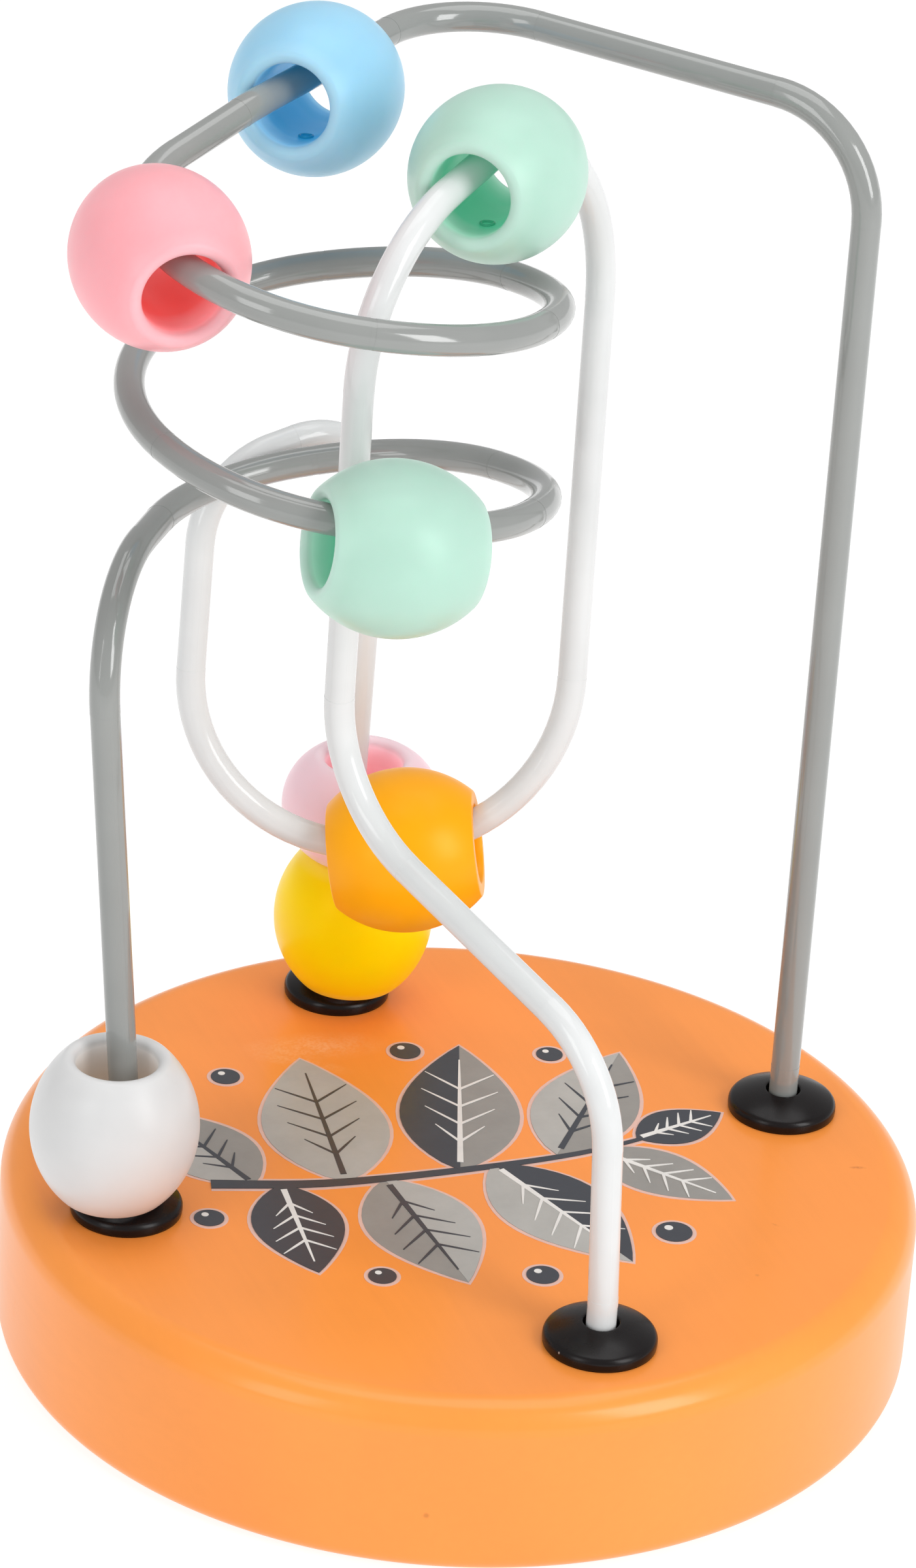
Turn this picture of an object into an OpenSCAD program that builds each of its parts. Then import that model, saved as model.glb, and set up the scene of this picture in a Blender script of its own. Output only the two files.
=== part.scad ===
// Bead maze: a round wooden base, two bent wires set in four caps, and eight beads on the wires.

/* [Base] */
// Diameter of the base
base_d = 100; // [96:1:130]
// Thickness of the base
base_h = 20; // [17:0.5:30]
// Rounding of the top edge
base_top_round = 4; // [2:0.5:6]
// Rounding of the bottom edge
base_bottom_round = 2; // [1:0.5:4]

/* [Caps] */
// Distance of each cap's middle from the base's side
foot_inset = 11.5; // [10.5:0.5:13]
// Diameter of a cap
cap_d = 12; // [11.5:0.1:13]
// Height of a cap above the base
cap_h = 2.7; // [2.4:0.1:3.4]
// Height of a cap's straight rim
cap_rim_h = 0.7; // [0.5:0.1:1]
// Rounding between a cap's rim and its dome
cap_shoulder = 0.9; // [0.5:0.1:1.2]
// Diameter of the plug under a cap
cap_plug_d = 7; // [6:0.1:8]
// Length of the plug under a cap
cap_plug_h = 8; // [6:0.5:10]
// Room round a plug in its hole
plug_fit = 0.1; // [0.05:0.05:0.3]
// Room round a wire in a cap
cap_wire_fit = 0.3; // [0.1:0.05:0.5]
// Room round a wire in its hole in the base
wire_fit = 0.1; // [0.05:0.05:0.3]

/* [Wires] */
// Diameter of both wires
wire_d = 3.2; // [2.6:0.1:3.6]
// Depth of a wire's end below the top of the base
wire_set_h = 14; // [12:0.5:15]
// Height above the base at which a post starts to lean
post_lean_h = 5; // [4:0.5:8]
// Radius of the slight bend where a post starts to lean
post_lean_r = 20; // [10:1:30]

/* [Grey wire] */
// Height of the bend at the top of the left post
left_post_h = 90.5; // [86:0.5:94]
// Radius of the bend at the top of the left post
left_post_r = 14; // [10:0.5:15]
// Height of the first corner of the coil
coil_start_h = 92.25; // [90:0.25:94]
// Radius of the coil
coil_r = 21.5; // [20:0.5:23]
// Drop of the coil's first corner below the coil's even rise, which fades out over half a turn
coil_lead_drop = 2.4; // [0:0.2:3]
// Rise of the coil in one turn
coil_pitch = 20.25; // [19:0.25:21]
// Height of the bend where the wire leaves the coil
coil_exit_h = 134.5; // [133:0.5:137]
// Radius of the bend where the wire leaves the coil
coil_exit_r = 14; // [10:0.5:18]
// Height of the bend at the back of the top run
top_run_h = 136; // [134:0.5:140]
// Radius of the bend at the back of the top run
top_run_r = 12; // [10:0.5:14]
// Height of the bend at the top of the right post
right_post_h = 134.5; // [130:0.5:138]
// Radius of the bend at the top of the right post
right_post_r = 12; // [10:0.5:14]

/* [White wire] */
// Height of the bend at the top of the front post
front_post_h = 52.5; // [50:0.5:54]
// Radius of the bend at the top of the front post
front_post_r = 13; // [10:0.5:15]
// Height of the bend at the foot of the riser
riser_foot_h = 64.5; // [62:0.5:67]
// Radius of the bend at the foot of the riser
riser_foot_r = 15; // [12:0.5:17]
// Height of the bend at the top of the riser
riser_top_h = 127.5; // [126:0.5:130]
// Radius of the bend at the top of the riser
riser_top_r = 17; // [14:0.5:18]
// Height of the bend at the top of the front arch
front_arch_h = 135; // [133:0.5:137]
// Radius of the bend at the top of the front arch
front_arch_r = 14; // [12:0.5:15]
// Height of the shoulder of the front arch
shoulder_h = 120.5; // [118:0.5:123]
// Radius of the shoulder of the front arch
shoulder_r = 18; // [12:0.5:20]
// Height of the low loop's right corner
low_loop_right_h = 52; // [50:0.5:54]
// Height of the low loop's left corner
low_loop_left_h = 48; // [46:0.5:51]
// Radius of the low loop
low_loop_r = 20.5; // [17:0.5:21]
// Height of the rear arch's left corner
rear_arch_left_h = 90; // [86:0.5:92]
// Height of the rear arch's right corner
rear_arch_right_h = 95; // [90:0.5:97]
// Radius of the rear arch's left corner
rear_arch_left_r = 11; // [9:0.5:12]
// Radius of the rear arch's right corner
rear_arch_right_r = 8.5; // [7:0.5:10]

/* [Beads] */
// Diameter of every bead
bead_d = 18; // [17:0.1:18.4]
// Length of a moulded bead
moulded_len = 16.4; // [15:0.1:17.5]
// Length of the short moulded bead
short_len = 12; // [11:0.1:14]
// Length of a turned wooden bead
turned_len = 16; // [15:0.1:17.5]
// Diameter of a bead's hole
bead_bore = 8.7; // [7.8:0.1:8.8]
// Rounding of a moulded bead's rim, long or short
moulded_rim = 0.6; // [0.4:0.1:1.2]
// Rounding of a turned bead's rim
turned_rim = 0.4; // [0.3:0.1:0.8]
// Width of the flat ring at a turned bead's end
turned_ring = 0.8; // [0.5:0.1:1.4]
// Gap left between a bead and what it rests on
bead_gap = 0.25; // [0.2:0.05:0.4]

/* [Hidden] */
$fn = 64;

// Overrun of every cut
cut = 1;
// Straight stretches of a wire are this much slimmer than its bends, so that they join in clean faces
wire_step = 0.02;
// Length by which a straight stretch runs into a bend
wire_lap = 0.2;
// Largest part of a straight stretch that one bend may take up
bend_room_share = 0.49;
// Steps along each kind of rounded outline
round_steps = 8;
barrel_steps = 20;
// Corners in one turn of the coil
coil_corners = 6;
// Corners in the whole coil
coil_count = 12;
// Direction of the coil's first corner from its middle, in degrees
coil_start_angle = 105;

// Places in plan as shares of the foot circle's radius: +X to the right post, +Y to the rear post
coil_middle_shares = [-0.416, 0.19];
left_post_shares = [-1.085, 0.16];
coil_exit_shares = [-0.545, 0.608];
top_run_shares = [0.236, 1.188];
right_post_shares = [1.065, 0.143];
front_post_shares = [-0.028, -0.984];
riser_foot_shares = [-0.413, 0.096];
riser_top_shares = [-0.478, -0.093];
front_arch_shares = [0.158, 0.335];
shoulder_shares = [0.481, 0.553];
low_loop_right_shares = [0.345, 0.244];
low_loop_left_shares = [-0.63, 0.706];
rear_arch_left_shares = [-0.55, 0.831];
rear_arch_right_shares = [-0.023, 0.86];

// Corners of the coil that carry a bead
lower_mint_index = 3;
pink_index = 11;
// Places of the beads as shares of the bend or straight stretch that carries them
lower_mint_share = 0.82;
pink_share = 0.08;
blue_share = 0.372;
upper_mint_share = -0.066;
orange_share = 0.94;
// Step in the search for a place that is clear
share_step = 0.02;
// Places of the tilted beads across their wire, as shares of their play: out from the bend and along its axis
// The blue bead is on a straight stretch, and its shares are up and to the side
pink_side_shares = [-0.125, 0.729];
blue_side_shares = [-0.568, -0.341];
upper_mint_side_shares = [-0.728, -0.310];
// Tilts of these beads about their own X and Y axes, as shares of their room to tilt
pink_tilt_shares = [0.473, 0.202];
blue_tilt_shares = [0.384, 0.642];
upper_mint_tilt_shares = [1.032, 0.701];
// Sideways places of the upright beads from the middle of the cap below, as shares of their play on the wire
white_side_shares = [-0.7, -0.1];
yellow_side_shares = [0.31, -0.7];
light_pink_side_shares = [0.3, -1];

base_r = base_d / 2;
// Distance of each cap from the middle of the base
foot_circle_r = base_r - foot_inset;
wire_floor = base_h - wire_set_h;
lean_z = base_h + post_lean_h;
// Room between a wire and a bead's hole, less the gap
bead_play = (bead_bore - wire_d) / 2 - bead_gap;
// Angle that a moulded bead can tilt on a straight wire
tilt_room = atan(2 * bead_play / (moulded_len - 2 * moulded_rim));

function on_plan(shares, h) = [shares[0] * foot_circle_r, shares[1] * foot_circle_r, h];
function foot(angle, h) = [foot_circle_r * cos(angle), foot_circle_r * sin(angle), h];
left_foot = 180;
right_foot = 0;
front_foot = 270;
rear_foot = 90;

// Corners of the coil, going round clockwise as they rise
function coil_corner(i) =
    let (a = coil_start_angle - 360 * i / coil_corners, r = coil_r / cos(180 / coil_corners))
    let (lead = max(0, 1 - 2 * i / coil_corners) * coil_lead_drop)
    on_plan(coil_middle_shares, coil_start_h + coil_pitch * i / coil_corners - lead)
        + r * [cos(a), sin(a), 0];

// Corners of each wire from end to end, and the bend radius at each corner
grey_path = concat(
    [foot(left_foot, wire_floor), foot(left_foot, lean_z), on_plan(left_post_shares, left_post_h)],
    [for (i = [0 : coil_count - 1]) coil_corner(i)],
    [
        on_plan(coil_exit_shares, coil_exit_h), on_plan(top_run_shares, top_run_h),
        on_plan(right_post_shares, right_post_h), foot(right_foot, lean_z), foot(right_foot, wire_floor)
    ]
);
grey_radii = concat(
    [0, post_lean_r, left_post_r],
    [for (i = [0 : coil_count - 1]) coil_r],
    [coil_exit_r, top_run_r, right_post_r, post_lean_r, 0]
);
coil_first_index = 3;
coil_exit_index = coil_first_index + coil_count;

white_path = [
    foot(front_foot, wire_floor), foot(front_foot, lean_z), on_plan(front_post_shares, front_post_h),
    on_plan(riser_foot_shares, riser_foot_h), on_plan(riser_top_shares, riser_top_h),
    on_plan(front_arch_shares, front_arch_h), on_plan(shoulder_shares, shoulder_h),
    on_plan(low_loop_right_shares, low_loop_right_h), on_plan(low_loop_left_shares, low_loop_left_h),
    on_plan(rear_arch_left_shares, rear_arch_left_h), on_plan(rear_arch_right_shares, rear_arch_right_h),
    foot(rear_foot, lean_z), foot(rear_foot, wire_floor)
];
white_radii = [
    0, post_lean_r, front_post_r, riser_foot_r, riser_top_r, front_arch_r, shoulder_r,
    low_loop_r, low_loop_r, rear_arch_left_r, rear_arch_right_r, post_lean_r, 0
];
front_arch_index = 5;
low_loop_index = 7;

// Geometry of a path with rounded corners
function unit(v) = v / norm(v);
function span(p, i) = norm(p[i + 1] - p[i]);
function heading(p, i) = unit(p[i + 1] - p[i]);
function turn(p, i) = acos(max(-1, min(1, heading(p, i - 1) * heading(p, i))));
function bend_r(p, r, i) =
    min(r[i], bend_room_share * min(span(p, i - 1), span(p, i)) / tan(turn(p, i) / 2));
function reach(p, r, i) = i == 0 || i == len(p) - 1 ? 0 : bend_r(p, r, i) * tan(turn(p, i) / 2);
function bend_axis(p, i) = unit(cross(heading(p, i - 1), heading(p, i)));
function bend_side(p, i) = cross(heading(p, i - 1), bend_axis(p, i));
function bend_middle(p, r, i) =
    p[i] - heading(p, i - 1) * reach(p, r, i) - bend_side(p, i) * bend_r(p, r, i);
function bend_radial(p, i, share) =
    let (a = share * turn(p, i)) bend_side(p, i) * cos(a) + heading(p, i - 1) * sin(a);
function straight_start(p, r, i) = p[i] + heading(p, i) * reach(p, r, i);
function straight_end(p, r, i) = p[i + 1] - heading(p, i) * reach(p, r, i + 1);

// Sets its children at a point, with their X and Z axes along two given directions
module set_at(o, x, z) {
    y = cross(z, x);
    multmatrix([
        [x[0], y[0], z[0], o[0]],
        [x[1], y[1], z[1], o[1]],
        [x[2], y[2], z[2], o[2]],
        [0, 0, 0, 1]
    ]) children();
}

// One wire: a torus arc at each corner and a rod along each straight stretch
module bent_wire(p, r) {
    last = len(p) - 1;
    for (i = [1 : last - 1])
        set_at(bend_middle(p, r, i), bend_side(p, i), bend_axis(p, i))
            rotate_extrude(angle = turn(p, i)) translate([bend_r(p, r, i), 0]) circle(d = wire_d);
    for (i = [0 : last - 1]) {
        z = heading(p, i);
        x = unit(cross(abs(z[2]) < abs(z[0]) ? [0, 0, 1] : [1, 0, 0], z));
        a = straight_start(p, r, i) - (i == 0 ? 0 : wire_lap) * z;
        b = straight_end(p, r, i) + (i == last - 1 ? 0 : wire_lap) * z;
        set_at(a, x, z) cylinder(h = norm(b - a), d = wire_d - 2 * wire_step);
    }
}

// Points of an arc in an outline, from one angle to another
function arc(middle, r, from, to, steps) =
    [for (k = [0 : steps]) let (a = from + (to - from) * k / steps) middle + r * [cos(a), sin(a)]];

// Outline of a bead with a barrel that runs smoothly into a ring at each end
// The rim's rounding stands between the ring, whose width may be zero, and the barrel
module bead(len, rim, ring) {
    bore_r = bead_bore / 2;
    rim_x = bore_r + ring + rim;
    rim_z = len / 2 - rim;
    drop = bead_d / 2 - rim_x;
    barrel_r = (drop * drop + rim_z * rim_z - rim * rim) / (2 * (drop - rim));
    barrel_angle = asin(rim_z / (barrel_r - rim));
    barrel = [bead_d / 2 - barrel_r, 0];
    inner = ring > 0 ? [[bore_r, -len / 2], [bore_r, len / 2]] : concat(
        arc([rim_x, -rim_z], rim, 270, 180, round_steps), arc([rim_x, rim_z], rim, 180, 90, round_steps));
    rotate_extrude() polygon(concat(
        inner,
        ring > 0 ? [[rim_x, len / 2]] : [],
        [for (q = arc([rim_x, rim_z], rim, 90, barrel_angle, round_steps)) if (q[1] < len / 2) q],
        [for (k = [1 : barrel_steps - 1]) let (a = barrel_angle * (1 - 2 * k / barrel_steps))
            barrel + barrel_r * [cos(a), sin(a)]],
        [for (q = arc([rim_x, -rim_z], rim, -barrel_angle, -90, round_steps)) if (q[1] > -len / 2) q],
        ring > 0 ? [[rim_x, -len / 2]] : []
    ));
}
module moulded_bead() { bead(moulded_len, moulded_rim, 0); }
module short_bead() { bead(short_len, moulded_rim, 0); }
module turned_bead() { bead(turned_len, turned_rim, turned_ring); }

// How far the inside of a wire's bend of radius r strays from a straight line within a length
function sag(r, len) = let (inside = r - wire_d / 2) inside - sqrt(inside * inside - len * len / 4);

// A bead on a bend, moved out from the bend's middle and along its axis
module on_bend(p, r, i, share, out, along) {
    axis = bend_axis(p, i);
    radial = bend_radial(p, i, share);
    set_at(bend_middle(p, r, i) + radial * (bend_r(p, r, i) + out) + axis * along, axis, cross(axis, radial))
        children();
}
// Tilts a loose bead about its own X and Y axes
module tilted(shares) { rotate(tilt_room * concat(shares, 0)) children(); }
// A bead that hangs on the coil, whose bends have an axis that points down
module on_coil(corner, share) {
    i = coil_first_index + corner;
    half_sag = sag(bend_r(grey_path, grey_radii, i), moulded_len - 2 * moulded_rim) / 2;
    on_bend(grey_path, grey_radii, i, share, -half_sag, sqrt(bead_play * bead_play - half_sag * half_sag))
        children();
}
// A cap's dome is part of a sphere that its rounded shoulder runs into
shoulder_x = cap_d / 2 - cap_shoulder;
cap_rise = cap_h - cap_rim_h;
dome_r = (shoulder_x * shoulder_x + cap_rise * cap_rise - cap_shoulder * cap_shoulder)
    / (2 * (cap_rise - cap_shoulder));
dome_z = base_h + cap_h - dome_r;

// Height of the middle of a moulded bead whose rim lies on a dome, for a sideways place
function seated_z(side_shares) =
    let (
        rim_reach = dome_r + moulded_rim + bead_gap,
        rim_x = bead_bore / 2 + moulded_rim - bead_play * norm(side_shares)
    )
    dome_z + sqrt(rim_reach * rim_reach - rim_x * rim_x) - moulded_rim + moulded_len / 2;
yellow_z = seated_z(yellow_side_shares);
light_pink_z = yellow_z + (moulded_len + short_len) / 2 + bead_gap;

// An upright bead round the post that stands in a cap
module on_post(angle, side_shares, h) {
    translate(foot(angle, h) + bead_play * concat(side_shares, 0)) children();
}

// The orange bead hangs on the low loop, as far along it as the light pink bead's side allows
low_bend_r = bend_r(white_path, white_radii, low_loop_index);
orange_out = bead_play - sag(low_bend_r, turned_len);
function orange_place(share) = bend_middle(white_path, white_radii, low_loop_index)
    + bend_radial(white_path, low_loop_index, share) * (low_bend_r + orange_out);
function post_gap(p) =
    let (away = p - foot(rear_foot, 0) - bead_play * concat(light_pink_side_shares, 0))
    norm([away[0], away[1]]) - bead_d;
function clear_share(share) =
    share <= 0 || post_gap(orange_place(share)) >= bead_gap ? share : clear_share(share - share_step);

module base() {
    color("#f7a150") difference() {
        rotate_extrude() polygon(concat(
            [[0, 0]],
            arc([base_r - base_bottom_round, base_bottom_round], base_bottom_round, -90, 0, round_steps),
            arc([base_r - base_top_round, base_h - base_top_round], base_top_round, 0, 90, round_steps),
            [[0, base_h]]
        ));
        for (a = [left_foot, right_foot, front_foot, rear_foot]) {
            translate(foot(a, base_h - cap_plug_h))
                cylinder(h = cap_plug_h + cut, d = cap_plug_d + 2 * plug_fit);
            translate(foot(a, wire_floor)) cylinder(h = wire_set_h, d = wire_d + 2 * wire_fit);
        }
    }
}

module cap(angle) {
    dome_angle = 90 - asin(shoulder_x / (dome_r - cap_shoulder));
    color("#211b1b") translate(foot(angle, base_h)) difference() {
        union() {
            rotate_extrude() polygon(concat(
                [[0, 0], [cap_d / 2, 0]],
                arc([shoulder_x, cap_rim_h], cap_shoulder, 0, dome_angle, round_steps),
                [for (k = [1 : round_steps]) let (a = dome_angle + (90 - dome_angle) * k / round_steps)
                    [dome_r * cos(a), cap_h - dome_r + dome_r * sin(a)]]
            ));
            translate([0, 0, -cap_plug_h]) cylinder(h = cap_plug_h + cap_rim_h, d = cap_plug_d);
        }
        translate([0, 0, -cap_plug_h - cut])
            cylinder(h = cap_plug_h + cap_h + 2 * cut, d = wire_d + 2 * cap_wire_fit);
    }
}

module grey_wire() { color("#9a9a98") bent_wire(grey_path, grey_radii); }
module white_wire() { color("#efefec") bent_wire(white_path, white_radii); }

module white_bead() {
    color("#edeae8") on_post(left_foot, white_side_shares, seated_z(white_side_shares)) moulded_bead();
}
module lower_mint_bead() { color("#bfeedb") on_coil(lower_mint_index, lower_mint_share) moulded_bead(); }
module pink_bead() {
    side = bead_play * pink_side_shares;
    corner = coil_first_index + pink_index;
    color("#fbb7bd") on_bend(grey_path, grey_radii, corner, pink_share, side[0], side[1])
        tilted(pink_tilt_shares) moulded_bead();
}
module blue_bead() {
    z = heading(grey_path, coil_exit_index);
    x = unit(cross([0, 0, 1], z));
    a = straight_start(grey_path, grey_radii, coil_exit_index);
    b = straight_end(grey_path, grey_radii, coil_exit_index);
    side = bead_play * blue_side_shares;
    color("#a9d8ee") set_at(a + (b - a) * blue_share + cross(z, x) * side[0] + x * side[1], x, z)
        tilted(blue_tilt_shares) moulded_bead();
}
module upper_mint_bead() {
    side = bead_play * upper_mint_side_shares;
    color("#bfeedb") on_bend(white_path, white_radii, front_arch_index, upper_mint_share, side[0], side[1])
        tilted(upper_mint_tilt_shares) moulded_bead();
}
module orange_bead() {
    share = clear_share(orange_share);
    color("#fbab2e") on_bend(white_path, white_radii, low_loop_index, share, orange_out, 0) turned_bead();
}
module yellow_bead() {
    color("#fac000") on_post(rear_foot, yellow_side_shares, yellow_z) moulded_bead();
}
module light_pink_bead() {
    color("#eec6cd") on_post(rear_foot, light_pink_side_shares, light_pink_z) short_bead();
}

base();
cap(left_foot);  // left_cap
cap(right_foot);  // right_cap
cap(front_foot);  // front_cap
cap(rear_foot);  // rear_cap
grey_wire();
white_wire();
white_bead();
lower_mint_bead();
pink_bead();
blue_bead();
upper_mint_bead();
orange_bead();
yellow_bead();
light_pink_bead();
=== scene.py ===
"""Looks of a small bead maze: a painted base with a printed sprig, capped wires and satin beads."""

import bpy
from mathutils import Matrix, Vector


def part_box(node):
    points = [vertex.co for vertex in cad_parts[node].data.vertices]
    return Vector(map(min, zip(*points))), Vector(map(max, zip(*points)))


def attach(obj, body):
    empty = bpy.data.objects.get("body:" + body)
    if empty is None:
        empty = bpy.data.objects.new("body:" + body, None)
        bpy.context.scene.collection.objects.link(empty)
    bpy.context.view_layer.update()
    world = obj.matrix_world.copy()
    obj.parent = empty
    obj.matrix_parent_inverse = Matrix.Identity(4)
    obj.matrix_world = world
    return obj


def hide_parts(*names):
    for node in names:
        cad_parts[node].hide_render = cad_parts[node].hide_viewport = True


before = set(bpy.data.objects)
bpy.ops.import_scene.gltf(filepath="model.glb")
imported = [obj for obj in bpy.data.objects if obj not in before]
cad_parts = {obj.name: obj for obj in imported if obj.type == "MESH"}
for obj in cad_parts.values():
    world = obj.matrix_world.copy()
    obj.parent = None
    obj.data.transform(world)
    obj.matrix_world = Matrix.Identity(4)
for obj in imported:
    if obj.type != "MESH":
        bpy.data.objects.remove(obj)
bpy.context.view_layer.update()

import math

import bmesh
import bpy
import numpy
from bpy.props import FloatProperty, FloatVectorProperty, IntProperty, PointerProperty
from mathutils import Matrix, Vector

bl_info = {
    "name": "Bead Maze",
    "version": (1, 0, 0),
    "blender": (4, 5, 0),
    "location": "3D View > Sidebar > Bead Maze",
    "description": "Builds the looks of a small bead maze around its solids",
    "category": "Object",
}

MM = 0.001
# Lengths below this count as nothing
TINY = 1e-9
CAPS = ("left_cap", "right_cap", "front_cap", "rear_cap")
MOULDED_BEADS = {
    "white_bead": "white",
    "lower_mint_bead": "mint",
    "pink_bead": "pink",
    "blue_bead": "blue",
    "upper_mint_bead": "mint",
    "yellow_bead": "yellow",
    "light_pink_bead": "light_pink",
}
# Beads whose bores show the mark of a mould pin
MARKED_BEADS = ("lower_mint_bead", "blue_bead", "upper_mint_bead")


# Settings

def amount(name, description, default, **kind):
    """A property for a number."""
    return FloatProperty(name=name, description=description, default=default, **kind)


def length(name, description, default):
    """A property for a length, in metres."""
    return amount(name, description, default, unit="LENGTH", precision=5)


def angle(name, description, degrees):
    """A property for an angle."""
    return amount(name, description, math.radians(degrees), subtype="ANGLE")


def colour(name, description, default):
    """A property for a colour, in linear light."""
    return FloatVectorProperty(
        name=name, description=description, default=default, subtype="COLOR", size=3, min=0, max=1
    )


def segment_count(description, default):
    """A property for the number of steps round a turned piece."""
    return IntProperty(name="Segments", description=description, default=default, min=24)


class BaseSettings(bpy.types.PropertyGroup):
    top_round: length("Top rounding", "Radius of the base's top edge", 3.4 * MM)
    bottom_round: length("Bottom rounding", "Radius of the base's bottom edge", 2 * MM)
    paint: colour("Paint", "Colour of the paint on the flats", (0.985, 0.328, 0.06))
    # Painted highlight: on the base the edge paint is a touch yellower along the top rounding
    edge_paint: colour(
        "Edge paint", "Colour of the paint where it is thin over the edges", (0.985, 0.332, 0.056)
    )
    sheen: colour("Sheen", "Tint of the paint's reflections", (1.0, 0.93, 0.86))
    lacquer: amount("Lacquer", "Weight of the clear coat over the paint", 0.45)
    # Painted reflection of the yellow bead, laid over the dull patches near it
    painted_reflection: colour("Painted reflection", "Colour of the paint where it is rubbed dull", (1.0, 0.5, 0.24))
    scratch: colour("Scratch", "Colour of the small scratches", (0.55, 0.16, 0.03))
    segments: segment_count("Steps round the base", 256)


class PrintSettings(bpy.types.PropertyGroup):
    reach: length("Reach", "Width of the printed sprig", 58 * MM)
    turn: angle("Turn", "Turn of the print on the base", -23.5)
    film: length("Ink film", "Thickness of one layer of ink", 0.03 * MM)
    outline: length("Outline", "Width of the pale line round each shape", 0.45 * MM)
    slate: colour("Slate", "Darkest ink", (0.042, 0.046, 0.058))
    mid_grey: colour("Mid grey", "Middle ink", (0.30, 0.285, 0.265))
    light_grey: colour("Light grey", "Light ink", (0.44, 0.43, 0.405))
    off_white: colour("Off white", "Lightest ink", (0.80, 0.78, 0.75))
    rim: colour("Rim", "Ink of the pale outline", (0.78, 0.50, 0.42))


class CapSettings(bpy.types.PropertyGroup):
    height: length("Height", "Height of a cap's dome without its hole", 2.7 * MM)
    rim_h: length("Rim", "Height of a cap's straight rim", 0.7 * MM)
    shoulder: length("Shoulder", "Rounding between rim and dome", 0.9 * MM)
    hole_edge: length("Hole edge", "Rounding of the hole for the wire", 0.15 * MM)
    plastic: colour("Plastic", "Colour of the caps", (0.0065, 0.0046, 0.0048))
    dust: colour("Dust", "Colour of the specks on the caps", (0.35, 0.3, 0.27))
    segments: segment_count("Steps round a cap", 96)


class WireSettings(bpy.types.PropertyGroup):
    grey: colour("Grey", "Coating of the coiled wire", (0.285, 0.295, 0.285))
    grey_gloss: amount("Grey gloss", "Shine of the coiled wire's coating", 1.0)
    white: colour("White", "Coating of the other wire", (0.735, 0.745, 0.745))
    white_gloss: amount("White gloss", "Shine of the other wire's coating", 0.15)
    speck: colour("Speck", "Colour of the specks in the coating", (0.13, 0.12, 0.11))


class BeadSettings(bpy.types.PropertyGroup):
    lip: length("Lip", "Rounding of a moulded bead's lip", 0.85 * MM)
    ring: length("Ring", "Width of the flat ring at a turned bead's ends", 0.8 * MM)
    ring_edge: length("Ring edge", "Rounding of a turned bead's edges", 0.4 * MM)
    step: length("Step", "Depth of the mould steps in a bore", 0.05 * MM)
    mark: length("Mark", "Radius of the round mould mark in a bore", 0.7 * MM)
    mark_depth: length("Mark depth", "Distance of the mould mark from a bead's end", 5.4 * MM)
    seep: length("Seep", "How far light travels in the plastic", 3.5 * MM)
    # Painted shade: a bore's colour deepens to its full shade over this depth
    deep: length("Deep", "Depth at which a bore has its full colour", 5 * MM)
    # Painted glow: the bore gives off light of its own, standing in for light through the walls
    glow: amount("Glow", "Light that comes through the walls into a bore", 0.25)
    mark_side: FloatVectorProperty(
        name="Mark side", description="Direction of the mould mark from a bore's axis",
        subtype="DIRECTION", size=3, default=(0.05, -0.05, -1)
    )
    segments: segment_count("Steps round a bead", 128)
    # Each plastic, then its colour deeper in the bore: partly the deeper tone of thick plastic,
    # partly painted shade; the white bore also holds painted warm bounce light from the base
    white: colour("White", "White plastic", (0.69, 0.69, 0.69))
    white_bore: colour("White bore shade", "White plastic in its bore", (0.58, 0.46, 0.36))
    mint: colour("Mint", "Mint plastic", (0.465, 0.69, 0.588))
    mint_bore: colour("Mint bore shade", "Mint plastic in its bore", (0.1, 0.58, 0.365))
    pink: colour("Pink", "Pink plastic", (0.97, 0.43, 0.47))
    pink_bore: colour("Pink bore", "Pink plastic in its bore", (0.88, 0.13, 0.12))
    blue: colour("Blue", "Pale blue plastic", (0.345, 0.64, 0.83))
    blue_bore: colour("Blue bore shade", "Pale blue plastic in its bore", (0.035, 0.43, 0.73))
    yellow: colour("Yellow", "Yellow plastic", (1.0, 0.69, 0.0))
    yellow_bore: colour("Yellow bore shade", "Yellow plastic in its bore", (0.85, 0.36, 0.0))
    # Painted glow: the yellow plastic's whole body gives off a share of the bore's glow
    yellow_body_glow: amount(
        "Yellow body glow", "Share of the glow that the yellow plastic's body lets through", 0.35
    )
    light_pink: colour("Light pink", "Light pink plastic", (0.94, 0.66, 0.72))
    light_pink_bore: colour(
        "Light pink bore", "Light pink plastic in its bore", (0.92, 0.42, 0.46)
    )
    orange: colour("Orange", "Paint of the turned bead", (1.0, 0.40, 0.0))
    orange_end: colour("Orange end", "Paint at the turned bead's ends", (1.0, 0.38, 0.0))
    # Painted glow: the turned bead's paint gives off light of its own
    orange_glow: amount(
        "Orange glow", "Brightness that the vivid orange paint adds of its own", 0.07
    )
    sheen: colour("Sheen", "Tint of the reflections on the turned bead", (1.0, 0.82, 0.4))


class StageSettings(bpy.types.PropertyGroup):
    azimuth: angle("Azimuth", "Direction of the camera, from the front", -23.55)
    elevation: angle("Elevation", "Height of the camera above the horizon", 26.87)
    roll: angle("Roll", "Turn of the camera about its own axis", 3.84)
    distance: length("Distance", "Distance of the camera from its target", 592.6 * MM)
    target: FloatVectorProperty(
        name="Target", description="Point that the camera looks at", subtype="TRANSLATION",
        unit="LENGTH", size=3, default=(0, 7.67 * MM, 61.9 * MM)
    )
    lens: amount("Lens", "Focal length, in millimetres", 85)
    sensor: amount("Sensor", "Long side of the sensor, in millimetres", 24)
    floor: colour("Floor", "Colour of the floor", (0.25, 0.25, 0.25))
    floor_glow: amount("Floor glow", "Light that comes through the floor", 0.85)
    sky: amount("Sky", "Strength of the even white surroundings", 0.545)
    key: amount("Key", "Power of the large light on the right, in watts", 2.8)
    fill: amount("Fill", "Power of the light on the left, in watts", 1.2)
    top: amount("Top", "Power of the light overhead, in watts", 2.9)


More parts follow.
